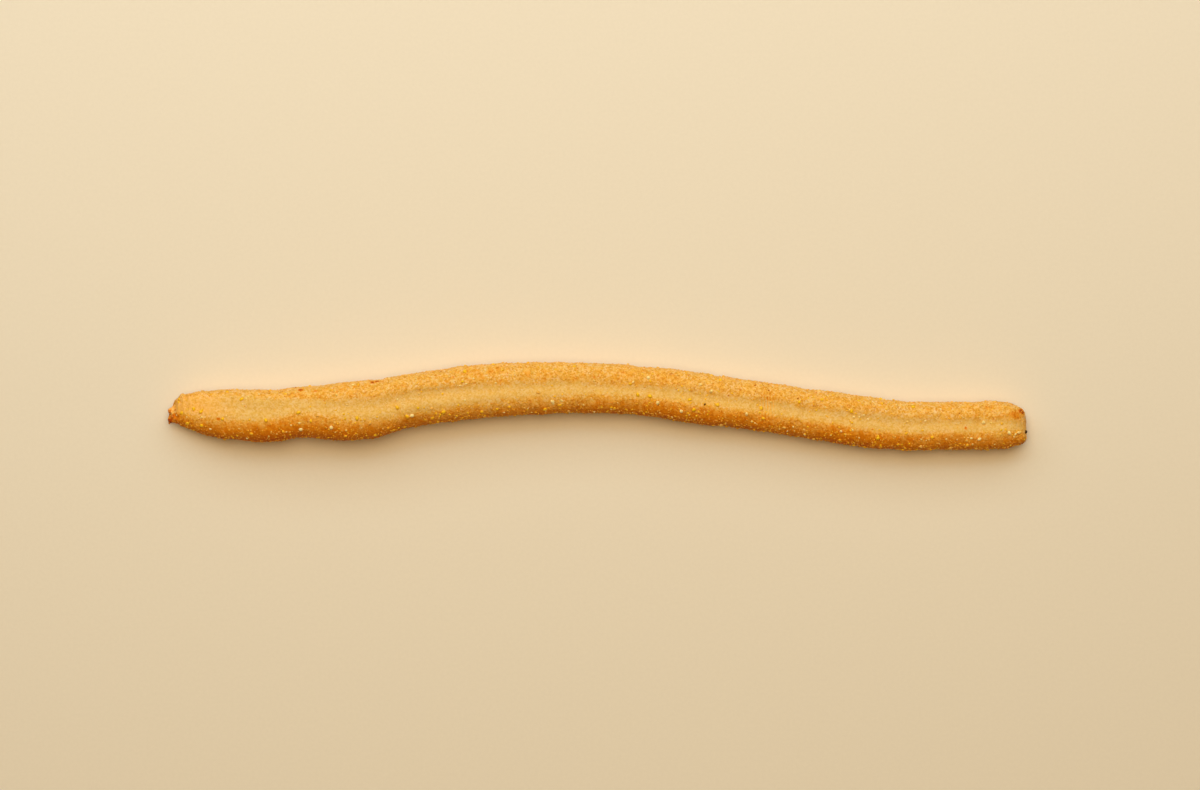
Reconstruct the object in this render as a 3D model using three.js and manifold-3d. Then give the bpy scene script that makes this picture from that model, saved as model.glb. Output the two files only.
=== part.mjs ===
// A grissini breadstick: one hand-stretched stick of baked dough with cornmeal stuck to its crust.
// It lies along X on its flattened underside, which is at z = 0. All sizes are in millimetres.
import * as THREE from 'three';
import { mergeVertices } from 'three/addons/utils/BufferGeometryUtils.js';
import Module from 'manifold-3d';

// Driving dimensions of the stick
const stickLength = 220;
const crustSquareness = 2.35;
const restingSink = 0.35;
const halfLength = stickLength / 2;

// The left end was torn from the dough and narrows to a snub tip, the right one was cut blunt
const tornEndLength = 17;
const tornEndPower = 2;
const cutEndLength = 8;
const cutEndPower = 2.6;

// How far the middle of each end sinks towards the tray: 0 stays level, 1 goes right down
const endDroop = 0.45;

// How the stick wanders sideways: [x, y of its middle]
const swayKnots = [
  [-110, -2.2], [-107.8, -1.15], [-105, -1.35], [-101, -1.75], [-96, -2.05], [-85, -2.55],
  [-75, -1.65], [-63, -1.35], [-56, -0.6], [-48, 1.35], [-39, 2.75], [-26, 4.0], [-7, 4.7],
  [10, 3.95], [35, 0.8], [60, -2.8], [77, -5.0], [90, -5.05], [104, -4.93], [110, -5.05],
];

// How wide the stick is, before its ends round off: [x, width]
const widthKnots = [
  [-110, 12.2], [-95, 12.5], [-84, 13.3], [-75, 12.9], [-63, 15.0], [-57, 14.7], [-48, 13.6],
  [-30, 13.6], [-8, 12.85], [10, 12.35], [23, 13.0], [41, 12.4], [70, 12.9], [80, 12.2], [98, 12.1],
  [110, 11.8],
];

// How high it is: [x, height]
const heightKnots = [
  [-110, 10], [-85, 11.6], [-63, 12.7], [-20, 11.5], [40, 10.7], [75, 10.3], [110, 9.8],
];

// The shallow furrow along its top. Its middle is a share of the half width, from 1 at the +Y edge
// to -1 at the -Y edge: [x, middle]
const furrowMiddleKnots = [
  [-110, 0.25], [-94, 0.3], [-84, 0.27], [-75, 0.3], [-66, 0.18], [-47, 0.08], [110, 0.08],
];
const furrowDepthKnots = [
  [-110, 0.25], [-94, 0.6], [-84, 0.7], [-75, 0.4], [-66, 0.7], [-47, 1.0], [-30, 0.85],
  [-10, 0.7], [100, 0.7], [110, 0.25],
];
const furrowFarSpread = 0.34;
const furrowNearSpread = 0.24;

// The pinch in the -Y side, where the dough was folded as it was stretched
const pinchPlace = -75;
const pinchDepth = 0.25;
const pinchLength = 3;

// Slow lumps all over the crust, and the crumbly roughness of the torn end
const lumpCount = 9;
const lumpHeight = 0.05;
const lumpFade = 0.5;
const longestLump = 34;
const lumpPitchStep = 0.75;
const mostLumpTurns = 4;
const lumpSeed = 5;
const tearHeight = 0.55;
const tearReach = 5;
const tearPitch = 2.4;

// Rings of the crust: their sides, their step along the stick and how many round off each end
const ringSides = 24;
const ringStep = 2.05;
const tornEndRings = 10;
const cutEndRings = 7;

// Cornmeal grains. The first ones have places of their own: [x, y], seen from above
const grainCount = 160;
const largestGrain = 1.3;
const smallestGrain = 0.8;
const grainSpacing = 2.2;
const grainSunkShare = 0.38;
const grainRoughness = 0.3;
const grainFlatness = 0.72;
const grainFloorGap = 1.4;
const grainEndGap = 2.2;
const undersideGrainShare = 0.75;
const furrowBareness = 0.94;
const furrowBareSpread = 0.45;
const grainPlaceSeed = 77;
const grainShapeSeed = 2024;
const placedGrains = [
  [-39.1, -1.5], [-84.2, -3.6], [-90.6, 1.7], [-75.9, -1.7], [-61.0, -3.1], [-50.8, -0.4],
  [-48.3, -2.6], [-33.7, 8.7], [-13.3, -0.8], [10.3, 2.9], [13.4, 2.5], [23.5, 1.6],
  [24.6, -0.9], [30.6, 0.3], [41.7, -0.6], [42.3, -3.1], [64.8, -1.3], [72.5, 1.7],
  [80.6, -0.3], [-106.2, -1.8], [-102.9, -0.8], [-101.0, -1.5], [-104.6, -4.4],
  [-75.4, -5.9], [-67.6, -5.4], [-47.1, -2.4], [-11.4, 1.2], [15.4, 0.8], [21.4, -1.3],
  [29.1, 3.8], [38.0, -2.0], [97.4, -8.4], [98.5, -4.2], [105.0, -6.8], [107.4, -6.8],
];

// Short steps along and around the crust, for finding which way it faces
const probeStep = 0.05;
const probeTurn = 0.01;
const halvings = 30;

// A plain seeded number generator, giving values from 0 to 1
const generatorFactor = 48271;
const generatorLimit = 2147483647;

function seededRandom(seed) {
  let state = seed;
  return function next() {
    state = (state * generatorFactor) % generatorLimit;
    return state / generatorLimit;
  };
}

// A smooth curve through a list of knots, flat outside them
function curveThrough(knots, x) {
  const last = knots.length - 1;
  if (x <= knots[0][0]) {
    return knots[0][1];
  }
  if (x >= knots[last][0]) {
    return knots[last][1];
  }
  let left = 0;
  while (knots[left + 1][0] < x) {
    left += 1;
  }
  const span = knots[left + 1][0] - knots[left][0];
  const t = (x - knots[left][0]) / span;
  const startSlope = knotSlope(knots, left) * span;
  const endSlope = knotSlope(knots, left + 1) * span;
  const rise = knots[left + 1][1] - knots[left][1];
  const bend = startSlope + endSlope - 2 * rise;
  return knots[left][1] + t * (startSlope + t * (3 * rise - 2 * startSlope - endSlope + t * bend));
}

function knotSlope(knots, index) {
  const before = knots[Math.max(0, index - 1)];
  const after = knots[Math.min(knots.length - 1, index + 1)];
  return (after[1] - before[1]) / (after[0] - before[0]);
}

// A bell that is 1 at zero and fades out over the given spread
function bell(distance, spread) {
  return Math.exp(-((distance / spread) ** 2));
}

// How much of its full section the stick has at x: 1 along it and 0 at its very ends
function endTaper(x) {
  const fromTorn = Math.min(1, Math.max(0, (x + halfLength) / tornEndLength));
  const fromCut = Math.min(1, Math.max(0, (halfLength - x) / cutEndLength));
  const torn = (1 - (1 - fromTorn) ** tornEndPower) ** (1 / tornEndPower);
  const cut = (1 - (1 - fromCut) ** cutEndPower) ** (1 / cutEndPower);
  return torn * cut;
}

// The lumps are waves along and around the stick, each with its own length, turn and start
function makeLumps() {
  const random = seededRandom(lumpSeed);
  const lumps = [];
  for (let i = 0; i < lumpCount; i += 1) {
    lumps.push({
      pitch: (2 * Math.PI * (1 + lumpPitchStep * i)) / longestLump,
      turns: 1 + (i % mostLumpTurns),
      start: 2 * Math.PI * random(),
      lean: random() < 0.5 ? -1 : 1,
      height: lumpHeight * (1 - (lumpFade * i) / lumpCount),
    });
  }
  return lumps;
}

const lumps = makeLumps();

function swellAt(x, angle) {
  let swell = 0;
  for (const lump of lumps) {
    swell += lump.height * Math.sin(lump.pitch * x + lump.lean * lump.turns * angle + lump.start);
  }
  const pinchSide = Math.max(0, -Math.cos(angle)) ** 2;
  swell -= pinchDepth * bell(x - pinchPlace, pinchLength) * pinchSide;
  const tear = tearHeight * bell(x + halfLength, tearReach);
  swell += tear * Math.sin(3 * angle + x * tearPitch) * Math.sin(5 * angle - x * tearPitch / 2);
  return swell;
}

function furrowAt(x, across) {
  const fromMiddle = across - curveThrough(furrowMiddleKnots, x);
  const spread = fromMiddle > 0 ? furrowFarSpread : furrowNearSpread;
  return curveThrough(furrowDepthKnots, x) * bell(fromMiddle, spread);
}

// Cosine or sine bent towards a rounded square, as dough settles on its tray
function squaredOff(value) {
  return Math.sign(value) * Math.abs(value) ** (2 / crustSquareness);
}

// The crust at x, at an angle that starts at the +Y side and turns up over the top
function crustPoint(x, angle) {
  const taper = endTaper(x);
  const halfWidth = (curveThrough(widthKnots, x) / 2) * taper;
  const halfHeight = curveThrough(heightKnots, x) / 2;
  const across = squaredOff(Math.cos(angle));
  const up = squaredOff(Math.sin(angle));
  const swell = swellAt(x, angle) * taper;
  const furrow = up > 0 ? furrowAt(x, across) * taper : 0;
  const y = halfWidth * across + swell * Math.cos(angle);
  const z = halfHeight * taper * up + swell * Math.sin(angle) - furrow;
  const middleHeight = halfHeight * (1 - endDroop * (1 - taper)) - restingSink;
  return new THREE.Vector3(x, curveThrough(swayKnots, x) + y, Math.max(0, middleHeight + z));
}

// The way out of the crust at x and angle, from two short steps along it
function crustOutward(x, angle) {
  const around = crustPoint(x, angle + probeTurn).sub(crustPoint(x, angle - probeTurn));
  const along = crustPoint(x + probeStep, angle).sub(crustPoint(x - probeStep, angle));
  return around.cross(along).normalize();
}

function ringPlaces() {
  const places = [];
  const quarter = Math.PI / 2;
  for (let i = 1; i < tornEndRings; i += 1) {
    places.push(-halfLength + tornEndLength * (1 - Math.cos((quarter * i) / tornEndRings)));
  }
  const start = -halfLength + tornEndLength;
  const end = halfLength - cutEndLength;
  const steps = Math.round((end - start) / ringStep);
  for (let i = 0; i <= steps; i += 1) {
    places.push(start + ((end - start) * i) / steps);
  }
  for (let i = cutEndRings - 1; i >= 1; i -= 1) {
    places.push(halfLength - cutEndLength * (1 - Math.cos((quarter * i) / cutEndRings)));
  }
  return places;
}

// The bare stick: rings of the crust joined in order, with a point at each end
function stickGeometry() {
  const places = ringPlaces();
  const points = [];
  for (const x of places) {
    for (let side = 0; side < ringSides; side += 1) {
      points.push(crustPoint(x, (2 * Math.PI * side) / ringSides));
    }
  }
  const tornTip = points.length;
  points.push(endPoint(-halfLength));
  const cutTip = points.length;
  points.push(endPoint(halfLength));

  const faces = [];
  const lastRing = (places.length - 1) * ringSides;
  for (let side = 0; side < ringSides; side += 1) {
    const next = (side + 1) % ringSides;
    for (let ring = 0; ring < lastRing; ring += ringSides) {
      faces.push(ring + side, ring + next, ring + ringSides + next);
      faces.push(ring + side, ring + ringSides + next, ring + ringSides + side);
    }
    faces.push(tornTip, next, side);
    faces.push(cutTip, lastRing + side, lastRing + next);
  }
  const geometry = new THREE.BufferGeometry().setFromPoints(points);
  geometry.setIndex(faces);
  return geometry;
}

function endPoint(x) {
  const height = (curveThrough(heightKnots, x) / 2) * (1 - endDroop) - restingSink;
  return new THREE.Vector3(x, curveThrough(swayKnots, x), height);
}

// The angle at which the top of the crust is y from the middle plane, seen from above
function angleSeenAt(x, y) {
  let low = 0;
  let high = Math.PI;
  for (let halving = 0; halving < halvings; halving += 1) {
    const middle = (low + high) / 2;
    if (crustPoint(x, middle).y > y) {
      low = middle;
    } else {
      high = middle;
    }
  }
  return (low + high) / 2;
}

// Grains are common on the flanks and rims, and rare in the furrow
function grainChance(x, angle) {
  if (Math.sin(angle) < 0) {
    return undersideGrainShare;
  }
  const across = squaredOff(Math.cos(angle));
  const fromMiddle = across - curveThrough(furrowMiddleKnots, x);
  return 1 - furrowBareness * bell(fromMiddle, furrowBareSpread);
}

// Where the grains lie: the placed ones, then others a fair distance apart
function grainPlaces() {
  const random = seededRandom(grainPlaceSeed);
  const places = [];
  for (const [x, y] of placedGrains) {
    const angle = angleSeenAt(x, y);
    places.push({ x, angle, point: crustPoint(x, angle) });
  }
  while (places.length < grainCount) {
    const x = (halfLength - grainEndGap) * (2 * random() - 1);
    const angle = 2 * Math.PI * random();
    const kept = random() < grainChance(x, angle);
    const point = crustPoint(x, angle);
    const crowded = places.some((place) => place.point.distanceTo(point) < grainSpacing);
    if (kept && !crowded && point.z > grainFloorGap) {
      places.push({ x, angle, point });
    }
  }
  return places;
}

// One grain: a rough, slightly flat lump, sunk into the crust
function grainGeometry(place, size, random) {
  const geometry = new THREE.IcosahedronGeometry(size / 2, 0);
  geometry.deleteAttribute('normal');
  geometry.deleteAttribute('uv');
  const grain = mergeVertices(geometry);
  const corners = grain.getAttribute('position');
  for (let i = 0; i < corners.count; i += 1) {
    const scale = 1 + grainRoughness * (random() - 0.5);
    const flat = scale * grainFlatness;
    corners.setXYZ(i, corners.getX(i) * scale, corners.getY(i) * flat, corners.getZ(i) * flat);
  }
  grain.rotateX(2 * Math.PI * random());
  grain.rotateZ(2 * Math.PI * random());
  const outward = crustOutward(place.x, place.angle);
  const lift = size * (grainFlatness / 2 - grainSunkShare);
  const centre = place.point.clone().addScaledVector(outward, lift);
  grain.translate(centre.x, centre.y, centre.z);
  return grain;
}

function toSolid(wasm, geometry) {
  const vertProperties = new Float32Array(geometry.getAttribute('position').array);
  const triVerts = new Uint32Array(geometry.getIndex().array);
  return new wasm.Manifold(new wasm.Mesh({ numProp: 3, vertProperties, triVerts }));
}

function toGeometry(solid) {
  const mesh = solid.getMesh();
  const geometry = new THREE.BufferGeometry();
  geometry.setAttribute('position', new THREE.BufferAttribute(mesh.vertProperties, 3));
  geometry.setIndex(new THREE.BufferAttribute(mesh.triVerts, 1));
  geometry.computeVertexNormals();
  return geometry;
}

// The stick and all its grains, joined into one solid, the largest grains first
function makeBreadstick(wasm) {
  const random = seededRandom(grainShapeSeed);
  let solid = toSolid(wasm, stickGeometry());
  grainPlaces().forEach((place, order) => {
    const share = Math.sqrt(order / grainCount);
    const size = largestGrain + (smallestGrain - largestGrain) * share;
    solid = solid.add(toSolid(wasm, grainGeometry(place, size, random)));
  });
  return toGeometry(solid);
}

const wasm = await Module();
wasm.setup();

const bakedCrust = new THREE.MeshStandardMaterial({ color: 0xdd9a42, roughness: 0.8, metalness: 0 });
const breadstick = new THREE.Mesh(makeBreadstick(wasm), bakedCrust);
breadstick.name = 'breadstick';

const part = new THREE.Group();
part.add(breadstick);

export default part;
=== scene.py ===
"""A grissini breadstick: its baked crust, the cornmeal on it, and a plain pale studio."""

import math

import bmesh
import bpy
import numpy as np
from bpy.props import FloatProperty, FloatVectorProperty, IntProperty, PointerProperty
from bpy.types import Operator, Panel, PropertyGroup
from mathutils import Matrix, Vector


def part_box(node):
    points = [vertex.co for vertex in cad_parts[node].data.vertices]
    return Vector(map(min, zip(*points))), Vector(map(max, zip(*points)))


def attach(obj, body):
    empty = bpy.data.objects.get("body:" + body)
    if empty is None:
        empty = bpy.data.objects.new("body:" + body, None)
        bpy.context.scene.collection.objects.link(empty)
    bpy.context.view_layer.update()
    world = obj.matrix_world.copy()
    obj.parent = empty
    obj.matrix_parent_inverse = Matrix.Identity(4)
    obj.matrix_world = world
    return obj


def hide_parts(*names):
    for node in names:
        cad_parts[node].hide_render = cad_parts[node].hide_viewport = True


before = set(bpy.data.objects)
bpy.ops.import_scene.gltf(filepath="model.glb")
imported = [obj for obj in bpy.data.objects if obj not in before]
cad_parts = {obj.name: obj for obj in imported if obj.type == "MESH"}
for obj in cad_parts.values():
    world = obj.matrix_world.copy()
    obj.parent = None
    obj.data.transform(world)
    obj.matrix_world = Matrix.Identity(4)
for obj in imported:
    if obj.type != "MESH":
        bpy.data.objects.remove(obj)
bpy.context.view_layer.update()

bl_info = {
    "name": "Grissini breadstick",
    "version": (1, 0, 0),
    "blender": (4, 5, 0),
    "location": "3D View > Sidebar > Breadstick",
    "description": "Bakes one hand-stretched breadstick with cornmeal on its crust",
    "category": "Add Mesh",
}

MM = 0.001
SHORTEST = 1e-9
STICK = "breadstick"
BODY = "root"
BAKE_MAP = "OFBake"
LOW_CORNER, HIGH_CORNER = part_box(STICK)
HALF_LENGTH = (HIGH_CORNER[0] - LOW_CORNER[0]) / 2 / MM

# The stick's form in millimetres, the same as the solid's
CRUST_SQUARENESS = 2.35
RESTING_SINK = 0.35
TORN_END_LENGTH = 17
TORN_END_POWER = 2
CUT_END_LENGTH = 8
CUT_END_POWER = 2.6
END_DROOP = 0.45

# [x, y of the middle], [x, width], [x, height] along the stick
SWAY_KNOTS = [
    (-110, -2.2), (-107.8, -1.15), (-105, -1.35), (-101, -1.75), (-96, -2.05), (-85, -2.55),
    (-75, -1.65), (-63, -1.35), (-56, -0.6), (-48, 1.35), (-39, 2.75), (-26, 4.0), (-7, 4.7),
    (10, 3.95), (35, 0.8), (60, -2.8), (77, -5.0), (90, -5.05), (104, -4.93), (110, -5.05),
]
WIDTH_KNOTS = [
    (-110, 12.2), (-95, 12.5), (-84, 13.3), (-75, 12.9), (-63, 15.0), (-57, 14.7), (-48, 13.6),
    (-30, 13.6), (-8, 12.85), (10, 12.35), (23, 13.0), (41, 12.4), (70, 12.9), (80, 12.2),
    (98, 12.1), (110, 11.8),
]
HEIGHT_KNOTS = [
    (-110, 10), (-85, 11.6), (-63, 12.7), (-20, 11.5), (40, 10.7), (75, 10.3), (110, 9.8),
]

# The furrow along the top: its middle as a share of the half width, its depth, its two sides
FURROW_MIDDLE_KNOTS = [
    (-110, 0.25), (-94, 0.3), (-84, 0.27), (-75, 0.3), (-66, 0.18), (-47, 0.08), (110, 0.08),
]
FURROW_DEPTH_KNOTS = [
    (-110, 0.25), (-94, 0.6), (-84, 0.7), (-75, 0.4), (-66, 0.7), (-47, 1.0), (-30, 0.85),
    (-10, 0.7), (100, 0.7), (110, 0.25),
]
FURROW_FAR_SPREAD = 0.34
FURROW_NEAR_SPREAD = 0.24

PINCH_PLACE = -75
PINCH_DEPTH = 0.25
PINCH_LENGTH = 3

LUMP_COUNT = 9
LUMP_HEIGHT = 0.05
LUMP_FADE = 0.5
LONGEST_LUMP = 34
LUMP_PITCH_STEP = 0.75
MOST_LUMP_TURNS = 4
LUMP_SEED = 5
TEAR_HEIGHT = 0.55
TEAR_REACH = 5
TEAR_PITCH = 2.4
TEAR_TURNS = 3
FINER_TEAR_TURNS = 5

# The pale band that the knife and the stretching left bare of cornmeal, as shares of the half width
BAND_MIDDLE_KNOTS = [
    (-110, 0.3), (-88, 0.3), (-75, 0.26), (-60, 0.05), (-47, -0.07), (-30, -0.1), (-10, -0.05),
    (15, 0), (110, 0.01),
]
BAND_HALF_KNOTS = [
    (-110, 0.3), (-98, 0.4), (-84, 0.38), (-75, 0.2), (-60, 0.3), (-47, 0.36), (-30, 0.3),
    (-10, 0.22), (15, 0.17), (60, 0.21), (95, 0.23), (110, 0.16),
]

# How far the band's edge fades in and out, and how ragged it is on the near side
BAND_FADE_IN = 0.08
BAND_FADE_OUT = 0.2
NEAR_EDGE_RAGGEDNESS = 0.35
NEAR_EDGE_STEP = (-0.1, 0.1)

# The larger cornmeal grains, the same as the solid's: [x, y] of those with a place of their own
GRAIN_COUNT = 160
LARGEST_GRAIN = 1.3
SMALLEST_GRAIN = 0.8
GRAIN_SPACING = 2.2
GRAIN_FLOOR_GAP = 1.4
GRAIN_END_GAP = 2.2
UNDERSIDE_GRAIN_SHARE = 0.75
FURROW_BARENESS = 0.94
FURROW_BARE_SPREAD = 0.45
GRAIN_PLACE_SEED = 77
HALVINGS = 30
YELLOW_PLACES = [
    (-39.1, -1.5), (-84.2, -3.6), (-90.6, 1.7), (-75.9, -1.7), (-61.0, -3.1), (-50.8, -0.4),
    (-48.3, -2.6), (-33.7, 8.7), (-13.3, -0.8), (10.3, 2.9), (13.4, 2.5), (23.5, 1.6),
    (24.6, -0.9), (30.6, 0.3), (41.7, -0.6), (42.3, -3.1), (64.8, -1.3), (72.5, 1.7),
    (80.6, -0.3), (-106.2, -1.8), (-102.9, -0.8), (-101.0, -1.5), (-104.6, -4.4),
]
PALE_PLACES = [
    (-75.4, -5.9), (-67.6, -5.4), (-47.1, -2.4), (-11.4, 1.2), (15.4, 0.8), (21.4, -1.3),
    (29.1, 3.8), (38.0, -2.0), (97.4, -8.4), (98.5, -4.2), (105.0, -6.8), (107.4, -6.8),
]

# How many of the other grains are yellow, how the shades run, and how much smaller they show
YELLOW_SHARE = 0.55
PLACED_YELLOW_SHADE = 0.4
OTHER_PALE_SHADE = 0.45
LOWEST_PALE_SHADE = 0.7
SUNKEN_SIZE = 0.95

# Where fine yellow cornmeal is thick on the top: (x, y, reach)
YELLOW_PATCHES = [
    (-9.5, 1.5, 3.5), (26, 1, 6), (13.5, 2.5, 4), (42, -1, 3), (-40, -3, 6), (68.5, -3.6, 5),
    (-103, -1.5, 3), (-63, -3, 5), (60, -5, 8), (104, -6.5, 3),
]

# The near lower edge, where it gathers too, and how much less it does so at the torn end
LOWER_EDGE = -0.9
LOWER_EDGE_SPREAD = 0.13
TORN_END_BARENESS = 0.7

# How likely a fine grain is to stick: on the coated crust, on the band and on the sole
COATED_CHANCE = 0.85
BAND_CHANCE = 0.1
SOLE_BARENESS = 0.8
SOLE_GRAIN_STEP = (0.75, 0.95)

# The same for the yellow ones: anywhere, along the lower edge and in the patches
YELLOW_ANYWHERE = 0.02
YELLOW_LOWER_EDGE = 0.8
YELLOW_IN_PATCHES = 1.1

# And for the pale ones: anywhere, on the near flank, and how few there are on the left half
PALE_ANYWHERE = 0.12
PALE_ON_FLANK = 0.6
PALE_FLANK_STEP = (-0.3, -0.7)
PALE_ON_LEFT = 0.25
PALE_RIGHTWARD_STEP = (-75, -15)

# How much darker the fine grains are on the near flank, as painted shade, and the scattered pale ones
# everywhere
FLANK_GRAIN_PAINTED_SHADE = 0.4
FLANK_GRAIN_STEP = (-0.3, -0.8)
SCATTERED_PALE_SHADE = 0.75
LOWEST_PALE_CRUMB_SHADE = 0.5

# Each piece of grains: its finish, how far its grains stand out, and how finely they are rounded
GRAIN_FORMS = {
    "cornmeal_yellow": ("cornmeal_yellow", 0.06, 3),
    "cornmeal_pale": ("semolina_pale", 0.06, 3),
    "semolina_fine": ("semolina_fine", 0.08, 1),
    "cornmeal_fine": ("cornmeal_yellow", 0.02, 1),
    "semolina_pale": ("semolina_pale", 0.06, 2),
    "toasted_crumbs": ("toasted_crumbs", 0.06, 2),
    "burnt_specks": ("burnt_specks", 0.08, 3),
}

# The smallest and the largest of the scattered grains, in mm
GRAIN_SIZES = {
    "semolina_fine": (0.25, 0.52), "cornmeal_fine": (0.35, 0.75), "semolina_pale": (0.35, 0.6),
    "toasted_crumbs": (0.3, 0.6),
}

# How rough and how tilted a grain is, and its width and thickness as shares of its length
GRAIN_ROUGHNESS = 0.34
GRAIN_TILT = 0.25
GRAIN_WIDTHS = (0.65, 0.95)
GRAIN_THICKNESSES = (0.5, 0.75)
GRAIN_DRAW_SEED = 9

# Crumbs on the torn tip: (x, y, size)
TOASTED_TIP_CRUMBS = [
    (-109.3, -1.35, 0.8), (-108.7, -2.6, 0.9), (-109.4, -3.7, 0.9), (-108.2, -3.4, 0.7),
    (-107.6, -1.9, 0.6), (-108.2, -0.9, 0.6), (-107.2, -3.9, 0.6),
]

# Pale and yellow crumbs that stand out along the stick: (x, y, size)
PALE_CRUMBS = [
    (-109.1, -2.1, 0.6), (-109.4, -3.0, 0.55), (-107.5, -2.3, 0.45), (-104.7, -2.8, 0.6),
    (-100.8, -2.9, 0.7), (-90.4, 2.5, 0.6), (-89.4, 1.9, 0.6), (-90.3, 0.5, 0.5),
    (-98.6, -5.8, 0.7), (-94.4, -2.5, 0.5), (-88.8, 2.3, 0.6), (-86.2, 3.0, 0.6),
    (-80.6, 0.4, 0.5), (-66.3, 2.9, 0.7), (-63.6, 0.3, 0.6), (-62.3, 5.4, 0.6),
    (-75.7, -4.3, 0.7), (-77.8, -4.9, 0.6), (-63.8, -6.1, 0.7), (-89.3, -8.2, 0.7),
    (-46.1, 6.9, 0.7), (-50.8, 1.7, 0.6), (-45.3, 3.2, 0.6), (-34.9, 5.2, 0.7),
    (-33.3, 5.7, 0.6), (-31.5, 7.0, 0.6), (-25.8, 5.9, 0.7), (-33.6, 1.5, 0.6),
    (-9.0, 1.4, 0.9), (-11.2, 0.6, 0.6), (-3.5, 0.3, 0.6), (-0.8, 6.5, 0.6),
    (-23.8, -1.5, 0.7), (-0.8, -1.4, 0.6), (13.0, 7.2, 1.0), (9.1, 6.1, 0.7),
    (26.3, 5.5, 0.7), (29.1, 5.9, 0.6), (20.4, 1.0, 0.6), (44.2, 1.0, 0.7),
    (39.4, -3.9, 0.7), (40.2, -4.3, 0.6), (48.5, -6.3, 0.7), (52.9, -7.2, 0.7),
    (57.3, 1.5, 0.7), (58.1, -0.3, 0.6), (19.1, -2.8, 0.7), (65.4, -2.8, 0.7),
    (66.8, -2.8, 0.6), (67.9, -2.3, 0.7), (69.0, -3.4, 0.6), (76.3, 0.2, 0.7),
    (77.4, 0.1, 0.6), (78.1, 0.0, 0.7), (87.6, -0.9, 0.6), (83.6, -3.8, 0.7),
    (79.0, -4.0, 0.6), (100.4, -4.3, 0.6), (95.3, -8.2, 0.8), (88.9, -8.4, 0.6),
    (62.1, -6.4, 0.7), (65.0, -6.1, 0.6), (106.6, -7.2, 0.7), (107.9, -6.6, 0.7),
    (106.3, -7.8, 0.6), (99.9, 0.0, 0.6),
]
YELLOW_CRUMBS = [
    (13.5, 6.3, 0.8), (-9.3, 0.3, 0.8), (34.3, 3.2, 0.7), (53.5, -6.3, 0.7), (82.9, -6.2, 0.7),
    (103.0, -6.1, 0.7), (72.3, -10.0, 0.9), (61.9, -8.6, 1.0), (78.7, -10.8, 0.9),
    (86.2, -10.9, 0.8), (96.6, -10.9, 0.8), (-51.9, -6.1, 0.8), (-55.9, -2.8, 0.7),
    (-88.4, -3.5, 0.8), (-77.7, -8.2, 0.8), (-74.4, -7.9, 0.8), (-70.9, -7.9, 0.8),
    (-73.5, -7.2, 0.7),
]

# Marks of baking and handling, seen from above: (x, y, reach along, reach across, strength)
SCORCH_MARKS = [
    (-75.6, 4.05, 0.7, 0.36, 0.75), (-71.7, 3.8, 0.5, 0.4, 0.42), (-57.2, 6.0, 0.7, 0.3, 0.75),
    (-56.2, 6.25, 0.6, 0.25, 0.75), (108.0, -1.35, 0.55, 0.5, 0.85), (108.6, -1.9, 0.45, 0.4, 0.85),
    (106.6, -1.7, 1.0, 0.6, 0.36), (93.9, -5.6, 0.4, 0.4, 0.62), (-96.4, -3.3, 0.5, 0.42, 0.7),
    (-0.8, 7.3, 0.45, 0.4, 0.42), (-36.5, 7.4, 0.4, 0.35, 0.42), (59.4, -1.2, 0.3, 0.3, 0.42),
    (-109.3, -3.5, 1.0, 0.8, 0.85), (-108.6, -2.6, 0.7, 0.55, 0.75), (-109.3, -1.2, 0.4, 0.4, 0.42),
    (-107.6, -3.6, 0.7, 0.5, 0.42),
]
PIT_PLACE = (27.4, 0.4)
PIT_DEPTH = 0.3
PIT_REACH = 0.3
PIT_STRENGTH = 0.7
LOWEST_MARK = -0.3

# Small burnt specks: (x, y, size, shade from 0, burnt, to 1, toasted)
BURNT_SPECKS = np.array([
    (27.4, 0.4, 0.68, 0.13), (109.35, -6.6, 0.95, 0), (43.7, 3.9, 0.45, 0.6), (51.1, 1.9, 0.5, 0.6),
])

# Browning round the burnt corner of the cut end: x, y, reach along, reach across, strength
BURNT_CORNER = (106.2, -2.4, 2.4, 1.5, 0.22)

# Dents and juts that shape the two ends, seen from above: (x, y, reach, rise)
END_SHAPES = [
    (-106.3, 2.9, 1.0, 0.45), (-108.6, 1.1, 1.6, -0.5), (-109.5, -1.2, 0.5, 0.6),
    (-109.9, -2.25, 0.38, -0.9), (-109.6, -3.4, 0.65, 0.7), (-109.2, -2.4, 0.3, -0.4),
    (108.7, -1.3, 1.2, 0.35), (107.0, -3.8, 0.45, -0.12), (108.9, -8.9, 1.4, 0.7),
    (109.6, -7.6, 1.0, 0.25),
]

# A low ledge where the smooth skin of the band begins: [x, place across], its step, where it
# rises and fades along the stick, and the dashes of browning on it
LEDGE_KNOTS = [(-52, 0.36), (-45, 0.3), (-35, 0.24), (-28, 0.24)]
LEDGE_STEP = 0.13
LEDGE_RISES = (-52, -48)
LEDGE_FADES = (-31, -36)
LEDGE_EDGE = (-0.03, 0.04)
LEDGE_SKIN = (0.1, 0.45)
LEDGE_BROWNING = 1.5
LEDGE_DASH_STEP = (-0.2, 0.5)

# The pale strip on the cut end, the creases beside it, and how much paler the far rim, on the lit
# side, is painted as a highlight
CUT_FACE_PLACE = (109.5, -5.4)
CUT_FACE_REACH = (0.75, 3.5)
CUT_PALENESS = 0.7
CREASE_PLACES = (107.3, 108.3)
CREASE_MIDDLE = -4.6
CREASE_REACH = (0.22, 2.8)
CREASE_DEPTH = 0.08
RIM_PAINTED_HIGHLIGHT = 0.25

# The bright top of the torn end, a painted highlight where light falls on it: where it begins to fade
# and where it has faded
END_HIGHLIGHT_START = -104
END_HIGHLIGHT_GONE = -88
END_HIGHLIGHT_STRENGTH = 0.85
END_HIGHLIGHT_ACROSS = (-0.35, 0.05)
END_HIGHLIGHT_UP = (-0.2, 0.3)
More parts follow.
